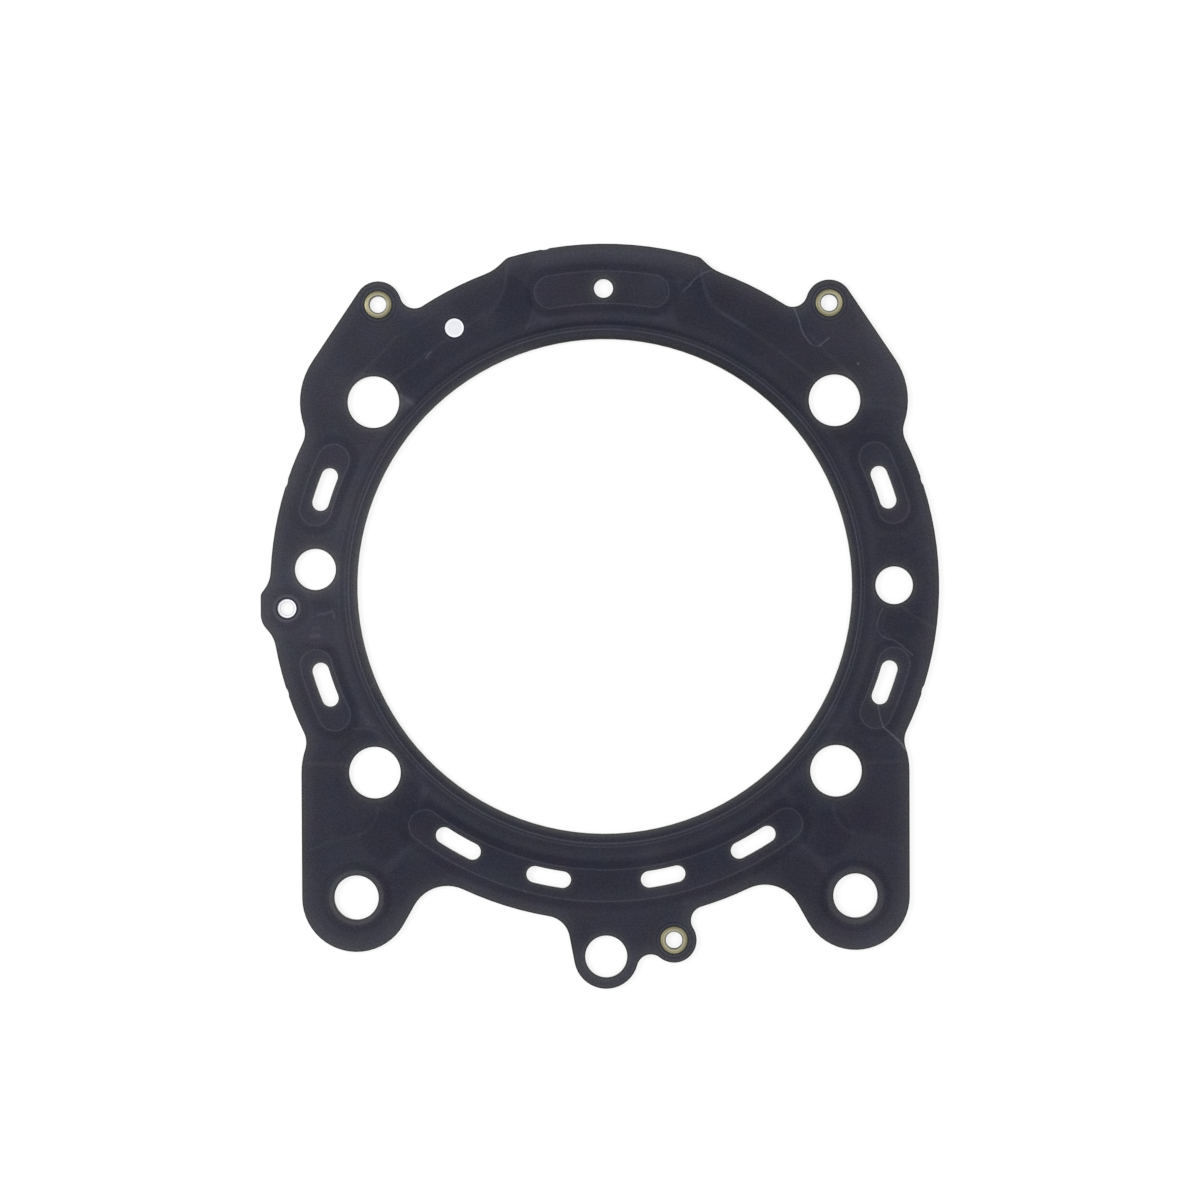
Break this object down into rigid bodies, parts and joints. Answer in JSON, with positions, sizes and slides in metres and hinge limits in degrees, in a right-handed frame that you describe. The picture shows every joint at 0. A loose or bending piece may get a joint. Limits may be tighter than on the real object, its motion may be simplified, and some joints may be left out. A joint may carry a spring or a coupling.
{
  "type": "cylinder head gasket",
  "caption": "Flat multi-layer steel head gasket for a single cylinder: coated sheets with pressed sealing beads, a bare spacer, hollow eyelets, coolant slots and stud holes",
  "frame": {"origin": "centre of the bore, level with the crests of the lower beads that the gasket lies on", "axes": "+Z along the bore axis, from the cylinder to the head; +Y towards the raised top arc with the vent hole, away from the two corner lobes; +X completes it, towards the side with no sight hole"},
  "size_m": [0.1549, 0.17, 0.0015],
  "materials": {
    "coated_sheet_upper": "satin rubber coating on steel",
    "coated_sheet_lower": "satin rubber coating on steel",
    "bare_steel": "cold-rolled",
    "eyelet_plate": "pale yellow zinc plate"
  },
  "bodies": {
    "root": {"upper_layer": "coated_sheet_upper", "spacer_layer": "bare_steel", "lower_layer": "coated_sheet_lower", "eyelet_upper_left": "eyelet_plate", "eyelet_upper_right": "eyelet_plate", "eyelet_lower": "eyelet_plate"}
  },
  "joints": []
}
